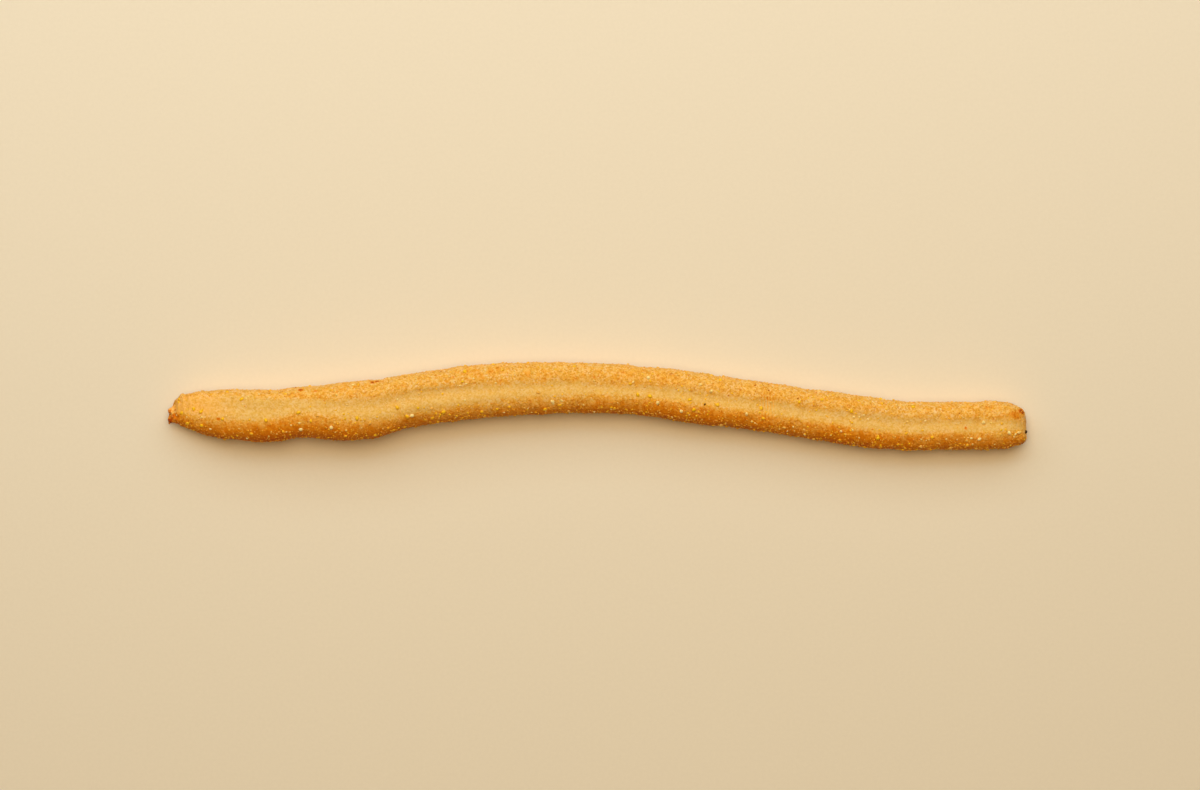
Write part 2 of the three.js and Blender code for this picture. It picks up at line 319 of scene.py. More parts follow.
# How much of the pale colour paints a highlight on the far rim, how much is the cut face's own pale
# crumb, and where the far rim lies
RIM_HIGHLIGHT_SHARE = 0.75
FAIR_CUT = 1.0
FAR_RIM_ACROSS = (0.82, 0.97)
FAR_RIM_UP = (-0.1, 0.25)

# Fine scratches across the top: their middle, their reach along and across, and their pitch
SCRATCH_PLACE = (43.4, 0.4)
SCRATCH_REACH = (2.2, 3.2)
SCRATCH_PITCH = 0.74
SCRATCH_LEAN = 0.06
SCRATCH_SHARPNESS = 3
SCRATCH_DEPTH = 0.08
SCRATCH_BROWNING = 0.5
SCRATCH_RINGS = 80
SCRATCH_RING_REACH = 3.6

# How much more the near flank, the side away from the lamps, is darkened along the stick than it
# mostly is: partly real browning, partly painted shade
FLANK_BROWNING_AND_SHADE_KNOTS = [
    (-110, -0.2), (-97, 0.02), (-86, 0.15), (-62, 0.01), (-38, -0.12), (-13, -0.1), (13, -0.03),
    (38, 0), (72, 0), (86, -0.09), (98, -0.02), (110, 0),
]

# Where the darkening of the near flank, real browning and painted shade, begins across the stick, and
# where it is full
FLANK_START_KNOTS = [
    (-110, -0.12), (-97, 0), (-84, 0.08), (-68, -0.06), (-46, -0.28), (-20, -0.32), (0, -0.24),
    (15, -0.04), (30, 0.07), (95, 0.07), (110, -0.05),
]
FLANK_END = -0.9
FLANK_BROWNING_AND_SHADE = 0.36

# How strongly the coated crust is mottled along the stick, and how much calmer its near flank is
FLANK_CALM = 0.72
FLANK_FINENESS_KNOTS = [(-110, 0.2), (-90, 0.45), (-65, 0.4), (-40, 0.1), (110, 0.1)]
BAND_GRAIN = 0.5
MOTTLE_KNOTS = [
    (-110, 0.3), (-84, 0.35), (-70, 0.6), (-40, 0.8), (-14, 0.7), (0, 0.4), (40, 0.3), (70, 0.45),
    (110, 0.4),
]

# How much browner or paler the rest of the crust is, and where
BASE_BROWNING = 0.39
# The near rim's darkening is painted shade along the lower edge, where the stick meets the floor
NEAR_RIM_PAINTED_SHADE = 0.12
NEAR_RIM_STEP = (-0.8, -0.98)
UNDERSIDE_BROWNING = 0.1
UNDERSIDE_STEP = (0.1, 0.7)
BAND_PALENESS = 0.75
TORN_BROWNING = 0.2
NEAR_TORN_BROWNING = 0.06
NEAR_SIDE_BROWNING = 0.08
NEAR_SIDE_STEP = (-0.1, 0.5)
CUT_BROWNING = 0.08
STREAK_MIDDLE = -0.42
STREAK_SPREAD = 0.3

# How far along the stick the torn end, its browning and the cut end reach, in mm
TORN_SPREAD = 3.2
NEAR_TORN_SPREAD = 9
CUT_SPREAD = 2.4

# Spots of one shade in the mottled crust
SPOT_STEP = (0.1, 0.4)
DARK_SPOT_BROWNING = 0.2
DARK_SPOTS_ABOVE = 0.7
PALE_SPOT_PALENESS = 0.13
PALE_SPOTS_BELOW = 0.25

# How much each size of crumb stands out, and how much flatter the relief is in some places
COARSE_SHARE = 0.18
FINE_SHARE = 0.75
TORN_ROUGHNESS = 0.35
RIPPLES_ON_SIDES = 0.35
GRIT_ON_BAND = 0.4
SOLE_FLATNESS = 0.6
SOLE_STEP = (0.55, 0.9)

# Crumbs on the crust: their pitch in mm and their seed
COARSE_CRUMBS = (1.5, 23)
FINE_CRUMBS = (0.8, 24)
SPOT_CRUMBS = (1.15, 35)
SMALLEST_CRUMB = 0.35
CRUMB_SIZE_RANGE = 0.45

# Layers of noise on the crust: the strength of each, its pitch in mm and its seed
EDGE_NOISE = ((0.1, 5, 11), (0.06, 1.6, 12))
RELIEF_NOISE = ((0.03, 7, 21), (0.015, 3.1, 22))
RIPPLE_NOISE = ((1, (0.85, 6, 6), 25), (0.5, (1.9, 9, 9), 26))
GRIT_NOISE = ((0.045, 0.55, 27),)
TORN_NOISE = ((1, 1.5, 28), (1, 0.7, 29))
BLOTCH_NOISE = ((0.06, 9, 31),)
MOTTLE_NOISE = ((0.08, 2.6, 32), (0.08, 1.1, 33))
LEDGE_NOISE = ((0.03, (2.2, 9, 9), 34),)
STREAK_NOISE = ((0.09, (0.6, 5, 5), 36),)
DASH_NOISE = ((1, (1.1, 5, 5), 37),)

# The plain random numbers, the same as the solid's
RANDOM_FACTOR = 48271
RANDOM_LIMIT = 2147483647

# The scrambling that gives each cell of the noise its value
CELL_FACTORS = (73856093, 19349663, 83492791)
CELL_MASK = 0xFFFFFFFF
SEED_FACTOR = 2654435
SALT_FACTOR = 40503
SCRAMBLES = ((15, 2246822519), (13, 3266489917))
LAST_SCRAMBLE = 16

# How the finest grain tints the crust: its pitch in mm, and its darkest, middle and lightest tints
TINT_STOPS = (0.0, 0.45, 1.0)
GRAIN_TINTS = (
    (0.36, ((0.81, 0.66, 0.32), (1.0, 0.98, 0.88), (1.07, 1.28, 2.4))),
    (0.75, ((0.98, 0.93, 0.7), (1.0, 0.99, 0.96), (1.01, 1.07, 1.55))),
)

# Where each colour of the crust and of its burnt marks is reached
BROWNING_STOPS = (0.08, 0.42, 0.7, 1.0)
BURN_STOPS = (0.4, 0.65, 1.0)
BURN_EDGE = (0.15, 0.38)
BLACK_TO_WHITE = ((0, 0, 0), (1, 1, 1))

# Finer noise in the crust's finish: its pitch in mm, its detail and its roughness
COLOUR_NOISE = (1.3, 4, 0.65)
COLOUR_NOISE_STRENGTH = 0.28
CRUMB_TINT_STRENGTH = 0.14
BURN_NOISE = (0.4, 3, 0.55)
BURN_RAGGEDNESS = 0.5
PORE_NOISE = (0.35, 4, 0.6)
FINER_PORE_NOISE = (0.12, 2, 0.5)
PORE_STRENGTH = 0.6
PORE_DEPTH = 0.08

# The map that the colours can be baked through: the width of its strips, its gaps, its end discs
# and the size of a grain in its cell
MAP_FILL = 0.98
MAP_GAP = 0.01
MAP_CAP = 0.008
MAP_GRAIN = 0.45

# The floor: half its width in metres, and its faint noise with where its two tones lie
FLOOR_HALF = 4.0
FLOOR_NOISE = (0.9, 4, 0.6)
FLOOR_STOPS = (0.3, 0.7)
FLOOR_TONES = ((0.985, 0.985, 0.985), (1.01, 1.01, 1.01))

# The photograph's frame: its width in pixels, its middle, where the stick's middle lies in it,
# and the stick's length in its pixels
PHOTO_WIDTH = 1200
PHOTO_MIDDLE = (600, 395)
STICK_MIDDLE = (597.25, 406)
STICK_PIXELS = 860.5
SENSOR_WIDTH = 36.0
NEAREST_SEEN = 0.01
FARTHEST_SEEN = 20


def curve_through(knots, x):
    """A smooth curve through a list of knots, flat outside them."""
    places, values = np.array(knots, float).T
    x = np.clip(x, places[0], places[-1])
    left = np.clip(np.searchsorted(places, x, side="left") - 1, 0, len(places) - 2)
    before = np.maximum(np.arange(len(places)) - 1, 0)
    after = np.minimum(np.arange(len(places)) + 1, len(places) - 1)
    slopes = (values[after] - values[before]) / (places[after] - places[before])
    span = places[left + 1] - places[left]
    t = (x - places[left]) / span
    start = slopes[left] * span
    end = slopes[left + 1] * span
    rise = values[left + 1] - values[left]
    bend = start + end - 2 * rise
    return values[left] + t * (start + t * (3 * rise - 2 * start - end + t * bend))


def bell(distance, spread):
    """1 at zero, fading out over the given spread."""
    return np.exp(-((distance / spread) ** 2))


def smooth_step(low, high, value):
    """0 up to low and 1 from high on, with a smooth rise between."""
    t = np.clip((value - low) / (high - low), 0, 1)
    return t * t * (3 - 2 * t)


def from_least(least, share):
    """A share from 0 to 1, moved up so that it starts at least there."""
    return least + (1 - least) * share


def seeded_random(seed):
    """A plain seeded number generator, the same as the solid's."""
    state = seed
    while True:
        state = (state * RANDOM_FACTOR) % RANDOM_LIMIT
        yield state / RANDOM_LIMIT


def end_taper(x):
    """How much of its full section the stick has at x."""
    from_torn = np.clip((x + HALF_LENGTH) / TORN_END_LENGTH, 0, 1)
    from_cut = np.clip((HALF_LENGTH - x) / CUT_END_LENGTH, 0, 1)
    torn = (1 - (1 - from_torn) ** TORN_END_POWER) ** (1 / TORN_END_POWER)
    cut = (1 - (1 - from_cut) ** CUT_END_POWER) ** (1 / CUT_END_POWER)
    return torn * cut


def swell_at(x, angle):
    """Slow lumps, the pinch in the near side and the roughness of the torn end."""
    random = seeded_random(LUMP_SEED)
    swell = np.zeros(np.broadcast(x, angle).shape)
    for i in range(LUMP_COUNT):
        start = 2 * math.pi * next(random)
        lean = -1 if next(random) < 0.5 else 1
        pitch = 2 * math.pi * (1 + LUMP_PITCH_STEP * i) / LONGEST_LUMP
        height = LUMP_HEIGHT * (1 - LUMP_FADE * i / LUMP_COUNT)
        turns = 1 + i % MOST_LUMP_TURNS
        swell += height * np.sin(pitch * x + lean * turns * angle + start)
    pinch_side = np.maximum(0, -np.cos(angle)) ** 2
    swell -= PINCH_DEPTH * bell(x - PINCH_PLACE, PINCH_LENGTH) * pinch_side
    tear = TEAR_HEIGHT * bell(x + HALF_LENGTH, TEAR_REACH)
    tear = tear * np.sin(TEAR_TURNS * angle + x * TEAR_PITCH)
    return swell + tear * np.sin(FINER_TEAR_TURNS * angle - x * TEAR_PITCH / 2)


def squared_off(value):
    """A sine or cosine, filled out for a section between round and square."""
    return np.sign(value) * np.abs(value) ** (2 / CRUST_SQUARENESS)


def crust_points(x, angle):
    """The smooth crust, in millimetres, at x and at an angle from the +Y side up over the top."""
    x, angle = np.broadcast_arrays(np.asarray(x, float), np.asarray(angle, float))
    taper = end_taper(x)
    half_width = curve_through(WIDTH_KNOTS, x) / 2 * taper
    half_height = curve_through(HEIGHT_KNOTS, x) / 2
    across = squared_off(np.cos(angle))
    up = squared_off(np.sin(angle))
    swell = swell_at(x, angle) * taper
    from_middle = across - curve_through(FURROW_MIDDLE_KNOTS, x)
    spread = np.where(from_middle > 0, FURROW_FAR_SPREAD, FURROW_NEAR_SPREAD)
    furrow = curve_through(FURROW_DEPTH_KNOTS, x) * bell(from_middle, spread) * taper * (up > 0)
    y = half_width * across + swell * np.cos(angle)
    z = half_height * taper * up + swell * np.sin(angle) - furrow
    middle_height = half_height * (1 - END_DROOP * (1 - taper)) - RESTING_SINK
    z = np.maximum(0, middle_height + z)
    return np.stack([x, curve_through(SWAY_KNOTS, x) + y, z], -1)


def cell_values(cells, seed, salt=0):
    """A fixed random value from 0 to 1 for each whole-numbered cell."""
    cells = cells.astype(np.int64)
    mixed = np.bitwise_xor.reduce(cells * np.array(CELL_FACTORS), axis=-1)
    mixed = (mixed ^ (seed * SEED_FACTOR + salt * SALT_FACTOR)) & CELL_MASK
    for shift, factor in SCRAMBLES:
        mixed = ((mixed ^ (mixed >> shift)) * factor) & CELL_MASK
    return (mixed ^ (mixed >> LAST_SCRAMBLE)) / (CELL_MASK + 1)


def soft_noise(points, pitch, seed):
    """Smooth noise from -1 to 1, with one wave about every pitch millimetres."""
    scaled = points / np.asarray(pitch, float)
    cells = np.floor(scaled)
    part = scaled - cells
    part = part * part * (3 - 2 * part)
    total = 0
    for corner in np.ndindex(2, 2, 2):
        corner = np.array(corner)
        weight = np.prod(np.where(corner, part, 1 - part), axis=-1)
        total = total + weight * cell_values(cells + corner, seed)
    return 2 * total - 1


def noise_layers(points, layers):
    """The sum of several layers of smooth noise."""
    return sum(strength * soft_noise(points, pitch, seed) for strength, pitch, seed in layers)


def crumb_noise(points, pitch, seed):
    """Round crumbs about pitch millimetres apart: their relief, 0 to 1, and a value for each."""
    scaled = points / pitch
    cells = np.floor(scaled)
    relief = np.zeros(points.shape[:-1])
    value = np.zeros(points.shape[:-1])
    for step in np.ndindex(3, 3, 3):
        near = cells + (np.array(step) - 1)
        centre = near + np.stack([cell_values(near, seed, salt) for salt in (1, 2, 3)], -1)
        reach = SMALLEST_CRUMB + CRUMB_SIZE_RANGE * cell_values(near, seed, 4)
        distance = np.linalg.norm(scaled - centre, axis=-1) / reach
        rise = np.sqrt(np.maximum(0, 1 - distance**2)) * reach
        value = np.where(rise > relief, cell_values(near, seed, 5), value)
        relief = np.maximum(relief, rise)
    return relief, value


def grid_normals(points):
    """Outward directions of a grid that runs along the stick and closes around it."""
    along = np.gradient(points, axis=0)
    around = np.roll(points, -1, axis=1) - np.roll(points, 1, axis=1)
    outward = np.cross(around, along)
    lengths = np.linalg.norm(outward, axis=-1, keepdims=True)
    return outward / np.maximum(lengths, SHORTEST)


def ring_places(settings):
    """Where the rings of the crust lie, closer together round the ends."""
    torn_turns = np.arange(1, settings.torn_rings) / settings.torn_rings * math.pi / 2
    cut_turns = np.arange(settings.cut_rings - 1, 0, -1) / settings.cut_rings * math.pi / 2
    torn = -HALF_LENGTH + TORN_END_LENGTH * (1 - np.cos(torn_turns))
    cut = HALF_LENGTH - CUT_END_LENGTH * (1 - np.cos(cut_turns))
    start = -HALF_LENGTH + TORN_END_LENGTH
    end = HALF_LENGTH - CUT_END_LENGTH
    middle = np.linspace(start, end, settings.middle_rings)
    scratched = np.abs(middle - SCRATCH_PLACE[0]) < SCRATCH_RING_REACH
    low, high = middle[scratched][[0, -1]]
    finer = np.linspace(low, high, SCRATCH_RINGS)
    middle = np.concatenate([middle[middle < low], finer, middle[middle > high]])
    return np.concatenate([torn, middle, cut])


class CrustGrid:
    """The finished crust as a grid of rings, with what its finish depends on at each point."""

    def __init__(self, settings):
        self.places = ring_places(settings)
        self.sides = settings.sides
        x = self.places[:, None]
        self.angle = np.arange(self.sides) / self.sides * 2 * math.pi
        smooth = crust_points(x, self.angle[None, :])
        self.across = np.broadcast_to(squared_off(np.cos(self.angle)), smooth.shape[:2])
        self.up = np.broadcast_to(np.sin(self.angle), smooth.shape[:2])
        self.outward = grid_normals(smooth)
        self.make_masks(x, smooth)
        relief = self.relief(x, smooth, settings)
        points = smooth + self.outward * relief[..., None]
        points[..., 0] = np.clip(points[..., 0], -HALF_LENGTH, HALF_LENGTH)
        points[..., 2] = np.maximum(points[..., 2], 0)
        self.points = points
        self.outward = grid_normals(points)
        # The browning also carries painted shade on the near flank and lower rim, and a painted
        # highlight on the far rim
        self.baked = self.browning_and_painted_light(x, smooth)
        self.burnt = self.scorch(smooth)

    def make_masks(self, x, smooth):
        """Where the crust is bare, torn or underneath, and where its pale colour goes: painted
        highlight on the torn end's top and far rim, and the cut face's own pale crumb.
        """
        past_middle = self.across - curve_through(BAND_MIDDLE_KNOTS, x)
        ragged = from_least(NEAR_EDGE_RAGGEDNESS, smooth_step(*NEAR_EDGE_STEP, past_middle))
        from_band = np.abs(past_middle) + noise_layers(smooth, EDGE_NOISE) * ragged
        half = curve_through(BAND_HALF_KNOTS, x)
        bare = 1 - smooth_step(half - BAND_FADE_IN, half + BAND_FADE_OUT, from_band)
        self.bare = bare * (self.up > 0)
        self.underside = smooth_step(*UNDERSIDE_STEP, -self.up)
        everywhere = np.broadcast_to(x, self.up.shape)
        self.torn = bell(everywhere + HALF_LENGTH, TORN_SPREAD)
        self.near_torn = bell(everywhere + HALF_LENGTH, NEAR_TORN_SPREAD)
        self.cut = bell(everywhere - HALF_LENGTH, CUT_SPREAD)
        # Painted highlight: the top of the drooping torn end is made brighter, standing in for the
        # light on it
        upper = smooth_step(*END_HIGHLIGHT_ACROSS, self.across) * smooth_step(*END_HIGHLIGHT_UP, self.up)
        painted_end_highlight = END_HIGHLIGHT_STRENGTH * smooth_step(END_HIGHLIGHT_GONE, END_HIGHLIGHT_START, x) * upper
        # Painted highlight: the far rim, on the side where the lamps stand, is made paler
        self.painted_rim_highlight = smooth_step(*FAR_RIM_ACROSS, self.across) * smooth_step(*FAR_RIM_UP, self.up)
        rim_highlight_and_cut_face = np.maximum(RIM_HIGHLIGHT_SHARE * self.painted_rim_highlight, FAIR_CUT * self.cut_face(smooth))
        self.highlight_and_pale_crumb = np.maximum(painted_end_highlight, rim_highlight_and_cut_face)

    def relief(self, x, smooth, settings):
        """How far the crust stands out from its smooth form, in millimetres."""
        coated = 1 - self.bare
        total = noise_layers(smooth, RELIEF_NOISE)
        coarse, self.coarse_value = crumb_noise(smooth, *COARSE_CRUMBS)
        fine, self.fine_value = crumb_noise(smooth, *FINE_CRUMBS)
        total += settings.crumb_height * (COARSE_SHARE * coarse + FINE_SHARE * fine) * coated
        ripples = settings.ripple_height * noise_layers(smooth, RIPPLE_NOISE)
        total += ripples * from_least(RIPPLES_ON_SIDES, self.up.clip(0, 1))
        total += noise_layers(smooth, GRIT_NOISE) * from_least(GRIT_ON_BAND, coated)
        total += TORN_ROUGHNESS * self.torn * noise_layers(smooth, TORN_NOISE)
        total -= PIT_DEPTH * self.mark(smooth, *PIT_PLACE, PIT_REACH, PIT_REACH)
        for end_x, end_y, reach, rise in END_SHAPES:
            total += rise * self.mark(smooth, end_x, end_y, reach, reach)
        ledge, past_ledge = self.ledge(x, smooth)
        total += LEDGE_STEP * ledge * past_ledge
        total -= SCRATCH_DEPTH * self.scratches(smooth)
        for crease in CREASE_PLACES:
            total -= CREASE_DEPTH * self.mark(smooth, crease, CREASE_MIDDLE, *CREASE_REACH)
        return total * (1 - SOLE_FLATNESS * smooth_step(*SOLE_STEP, -self.up))

    def mark(self, smooth, x, y, along, across):
        """A soft spot on the upper part of the crust, seen from above."""
        distance = np.hypot((smooth[..., 0] - x) / along, (smooth[..., 1] - y) / across)
        return bell(distance, 1) * (self.up > LOWEST_MARK)

    def ledge(self, x, smooth):
        """Where the ledge runs, and how far each point is past it."""
        past = self.across - curve_through(LEDGE_KNOTS, x) + noise_layers(smooth, LEDGE_NOISE)
        ends = smooth_step(*LEDGE_RISES, x) * smooth_step(*LEDGE_FADES, x)
        upper = (self.up > 0) * ends
        fading = 1 - smooth_step(*LEDGE_SKIN, past)
        return upper * fading, smooth_step(*LEDGE_EDGE, past)

    def cut_face(self, smooth):
        """The pale strip of crumb on the cut end."""
        return self.mark(smooth, *CUT_FACE_PLACE, *CUT_FACE_REACH)

    def scratches(self, smooth):
        """Fine parallel scratches across the stick."""
        middle_x, middle_y = SCRATCH_PLACE
        lean = smooth[..., 0] - middle_x + SCRATCH_LEAN * (smooth[..., 1] - middle_y)
        lines = 0.5 + 0.5 * np.cos(2 * math.pi * lean / SCRATCH_PITCH)
        return lines**SCRATCH_SHARPNESS * self.mark(smooth, *SCRATCH_PLACE, *SCRATCH_REACH)

    def browning_and_painted_light(self, x, smooth):
        """How far the crust has baked: 0 pale, 0.5 golden, 1 brown. It also carries painted shade on
        the near flank and lower rim, and a painted highlight on the far rim.
        """
        coated = 1 - self.bare
        flank = smooth_step(curve_through(FLANK_START_KNOTS, x), FLANK_END, self.across)
        mottle = curve_through(MOTTLE_KNOTS, x) * coated * (1 - FLANK_CALM * flank)
        fineness = curve_through(FLANK_FINENESS_KNOTS, x)
        self.grainy = from_least(BAND_GRAIN, coated) * (1 - fineness * flank)
        baked = BASE_BROWNING + noise_layers(smooth, BLOTCH_NOISE)
        baked += noise_layers(smooth, MOTTLE_NOISE) * mottle
        spots, spot_value = crumb_noise(smooth, *SPOT_CRUMBS)
        dark = DARK_SPOT_BROWNING * (spot_value > DARK_SPOTS_ABOVE)
        pale = PALE_SPOT_PALENESS * (spot_value < PALE_SPOTS_BELOW)
        baked += (dark - pale) * smooth_step(*SPOT_STEP, spots) * mottle
        # The near flank, facing away from the lamps, gets real browning and painted shade together
        baked += (FLANK_BROWNING_AND_SHADE + curve_through(FLANK_BROWNING_AND_SHADE_KNOTS, x)) * flank
        streaked = bell(self.across - STREAK_MIDDLE, STREAK_SPREAD) * (self.up > 0)
        baked += noise_layers(smooth, STREAK_NOISE) * streaked
        # Painted shade along the near lower rim
        rim = smooth_step(*NEAR_RIM_STEP, self.across)
        baked += NEAR_RIM_PAINTED_SHADE * rim + UNDERSIDE_BROWNING * self.underside
        baked = baked * (1 - BAND_PALENESS * self.bare)
        ledge, past_ledge = self.ledge(x, smooth)
        dashes = smooth_step(*LEDGE_DASH_STEP, noise_layers(smooth, DASH_NOISE))
        baked += LEDGE_BROWNING * ledge * past_ledge * (1 - past_ledge) * dashes
        baked += SCRATCH_BROWNING * self.scratches(smooth)
        near_side = 1 - smooth_step(*NEAR_SIDE_STEP, self.across)
        near_torn = (NEAR_TORN_BROWNING + NEAR_SIDE_BROWNING * near_side) * self.near_torn
        baked += TORN_BROWNING * self.torn + near_torn + CUT_BROWNING * self.cut
        # Painted highlight: the far rim is made paler where the light falls on it
        baked -= RIM_PAINTED_HIGHLIGHT * self.painted_rim_highlight
        baked -= CUT_PALENESS * self.cut_face(smooth)
        *corner, strength = BURNT_CORNER
        baked += strength * self.mark(smooth, *corner)
        return baked.clip(0, 1)

    def scorch(self, smooth):
        """Small burnt marks on the top of the crust."""
        total = PIT_STRENGTH * self.mark(smooth, *PIT_PLACE, PIT_REACH, PIT_REACH)
        for *spot, strength in SCORCH_MARKS:
            total = np.maximum(total, strength * self.mark(smooth, *spot))
        return total.clip(0, 1)

    def place(self, row, side):
        """The point and outward direction at a place between the grid's points."""
        low = np.clip(np.floor(row).astype(int), 0, len(self.places) - 2)
        left = np.floor(side).astype(int) % self.sides
        right = (left + 1) % self.sides
        down = (row - low)[:, None]
        over = (side - np.floor(side))[:, None]

        def between(values):
            """Values of the grid, blended from the four points around each place."""
            near = values[low, left] * (1 - over) + values[low, right] * over
            far = values[low + 1, left] * (1 - over) + values[low + 1, right] * over
            return near * (1 - down) + far * down

        outward = between(self.outward)
        return between(self.points), outward / np.linalg.norm(outward, axis=1, keepdims=True)

    def row_of(self, x):
        """The row of the grid at x, with its part between two rings."""
        return np.interp(x, self.places, np.arange(len(self.places)))

    def side_of(self, angle):
        """The side of the grid at an angle."""
        return angle / (2 * math.pi) * self.sides

    def across_at(self, side):
        """How far across the stick a side lies, from -1 near to 1 far."""
        return squared_off(np.cos(side / self.sides * 2 * math.pi))


def new_piece(name, vertices, faces, unwrapped, material):
    """A smooth piece from arrays in millimetres, riding on the stick's body."""
    mesh = bpy.data.meshes.new(name)
    corners = faces.shape[1]
    mesh.vertices.add(len(vertices))
    mesh.vertices.foreach_set("co", (vertices * MM).astype(np.float32).ravel())
    mesh.loops.add(faces.size)
    mesh.loops.foreach_set("vertex_index", faces.astype(np.int32).ravel())
    mesh.polygons.add(len(faces))
    mesh.polygons.foreach_set("loop_start", np.arange(0, faces.size, corners, dtype=np.int32))
    mesh.polygons.foreach_set("use_smooth", np.ones(len(faces), bool))
    mesh.update(calc_edges=True)
    mesh.materials.append(material)
    layer = mesh.uv_layers.new(name=BAKE_MAP)
    layer.data.foreach_set("uv", unwrapped.astype(np.float32).ravel())
    piece = bpy.data.objects.new(name, mesh)
    bpy.context.scene.collection.objects.link(piece)
    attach(piece, BODY)
    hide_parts(STICK)
    return piece


def store_values(piece, name, values):
    """Keeps one number for each vertex, for the material to read."""
    layer = piece.data.attributes.new(name, "FLOAT", "POINT")
    layer.data.foreach_set("value", np.ascontiguousarray(values, np.float32).ravel())


class NodeMaker:
    """Adds shader nodes and links them, so that a material reads as a recipe."""

    def __init__(self, name):
        self.material = bpy.data.materials.new(name)
        self.material.use_nodes = True
        self.tree = self.material.node_tree
        self.tree.nodes.clear()

    def add(self, kind, inputs=None, **settings):
        """A new node, with its inputs linked or set."""
        made = self.tree.nodes.new("ShaderNode" + kind)
        for key, value in settings.items():
            setattr(made, key, value)
        for key, value in (inputs or {}).items():
            if isinstance(value, bpy.types.NodeSocket):
                self.tree.links.new(value, made.inputs[key])
            else:
                made.inputs[key].default_value = value
        return made

    def stored(self, name):
        """The number that the mesh keeps under this name."""
        return self.add("Attribute", attribute_name=name).outputs["Fac"]

    def maths(self, operation, first, second, third=None):
        """Sums of two or three values."""
        inputs = {0: first, 1: second}
        if third is not None:
            inputs[2] = third
        return self.add("Math", inputs, operation=operation).outputs[0]

    def blend(self, share, first, second, mode="MIX"):
        """Two colours mixed; 6 and 7 are the colour sockets of the node."""
        inputs = {0: share, 6: first, 7: second}
        return self.add("Mix", inputs, data_type="RGBA", blend_type=mode).outputs[2]

    def ramp(self, value, stops, colours):
        """One colour at each stop, blended between them."""
        made = self.add("ValToRGB", {0: value})
        points = made.color_ramp.elements
        while len(points) < len(stops):
            points.new(1)
        for point, stop, colour in zip(points, stops, colours):
            point.position = stop
            point.color = with_alpha(colour)
        return made.outputs[0]

    def noise(self, pitch, detail, roughness):
        """Noise with one blotch about every pitch millimetres."""
        where = self.add("TexCoord").outputs["Object"]
        inputs = {
            "Vector": where, "Scale": 1 / (pitch * MM), "Detail": detail, "Roughness": roughness,
        }
        return self.add("TexNoise", inputs).outputs[0]

    def added_noise(self, noise, strength, value):
        """A value with noise added, as much above it as below."""
        centred = self.maths("SUBTRACT", self.noise(*noise), 0.5)
        return self.maths("MULTIPLY_ADD", centred, strength, value)

    def cell_value(self, pitch):
        """A random value for each cell about pitch millimetres wide."""
        where = self.add("TexCoord").outputs["Object"]
        cells = self.add("TexVoronoi", {"Vector": where, "Scale": 1 / (pitch * MM)})
        return self.add("SeparateColor", {0: cells.outputs["Color"]}).outputs[0]

    def finish(self, **inputs):
        """The surface itself, and the finished material."""
        surface = self.add("BsdfPrincipled", inputs)
        output = self.add("OutputMaterial")
        self.tree.links.new(surface.outputs[0], output.inputs[0])
        return self.material


def with_alpha(colour):
    """A colour as nodes take it, fully solid."""
    return (*colour, 1.0)


def crust_material(settings):
    """Baked crust: how far it has baked, with painted shade and highlight added in, decides the
    colour, with fine grains of colour and burnt marks.
    """
    make = NodeMaker("baked_crust")
    baked = make.added_noise(COLOUR_NOISE, COLOUR_NOISE_STRENGTH, make.stored("browning_and_painted_light"))
    grain = make.maths("SUBTRACT", make.stored("crumb"), 0.5)
    baked = make.maths("MULTIPLY_ADD", grain, CRUMB_TINT_STRENGTH, baked)
    colour = make.ramp(baked, BROWNING_STOPS, (
        settings.pale_colour, settings.golden_colour, settings.brown_colour, settings.dark_colour,
    ))
    # The pale colour paints a highlight on the torn end's top and on the far rim, and gives the cut
    # face its own pale crumb
    colour = make.blend(make.stored("highlight_and_pale_crumb"), colour, with_alpha(settings.highlight_and_crumb_colour))
    for pitch, tints in GRAIN_TINTS:
        tint = make.ramp(make.cell_value(pitch), TINT_STOPS, tints)
        colour = make.blend(make.stored("grainy"), colour, tint, "MULTIPLY")
    burn = make.added_noise(BURN_NOISE, BURN_RAGGEDNESS, make.stored("scorch"))
    amount = make.ramp(burn, BURN_EDGE, BLACK_TO_WHITE)
    mark = make.ramp(burn, BURN_STOPS, (
        settings.toasted_colour, settings.scorched_colour, settings.burnt_colour,
    ))
    colour = make.blend(amount, colour, mark)
    height = make.maths("ADD", make.noise(*PORE_NOISE), make.noise(*FINER_PORE_NOISE))
    pores = {"Strength": PORE_STRENGTH, "Distance": PORE_DEPTH * MM, "Height": height}
    bump = make.add("Bump", pores)
    return make.finish(**{
        "Base Color": colour,
        "Roughness": 0.72,
        "Normal": bump.outputs[0],
        "Specular IOR Level": 0.12,
        "Subsurface Weight": 0.08,
        "Subsurface Radius": (1.0, 0.45, 0.15),
        "Subsurface Scale": 0.8 * MM,
    })


def grain_material(name, shades, roughness, shine):
    """Dry hard grain: each one its own shade, slightly translucent."""
    make = NodeMaker(name)
    colour = make.ramp(make.stored("shade"), np.linspace(0, 1, len(shades)), shades)
    return make.finish(**{
        "Base Color": colour,
        "Roughness": roughness,
        "Specular IOR Level": shine,
        "Subsurface Weight": 0.3,
        "Subsurface Radius": (1.0, 0.7, 0.3),
        "Subsurface Scale": 0.3 * MM,
    })


def crust_faces(rows, sides):
    """Quads of the rings, as corner numbers, row by row."""
    row = np.arange(rows - 1)[:, None] * sides
    side = np.arange(sides)[None, :]
    ahead = (side + 1) % sides
    faces = [row + side, row + ahead, row + sides + ahead, row + sides + side]
    return np.stack(np.broadcast_arrays(*faces), -1).reshape(-1, 4)


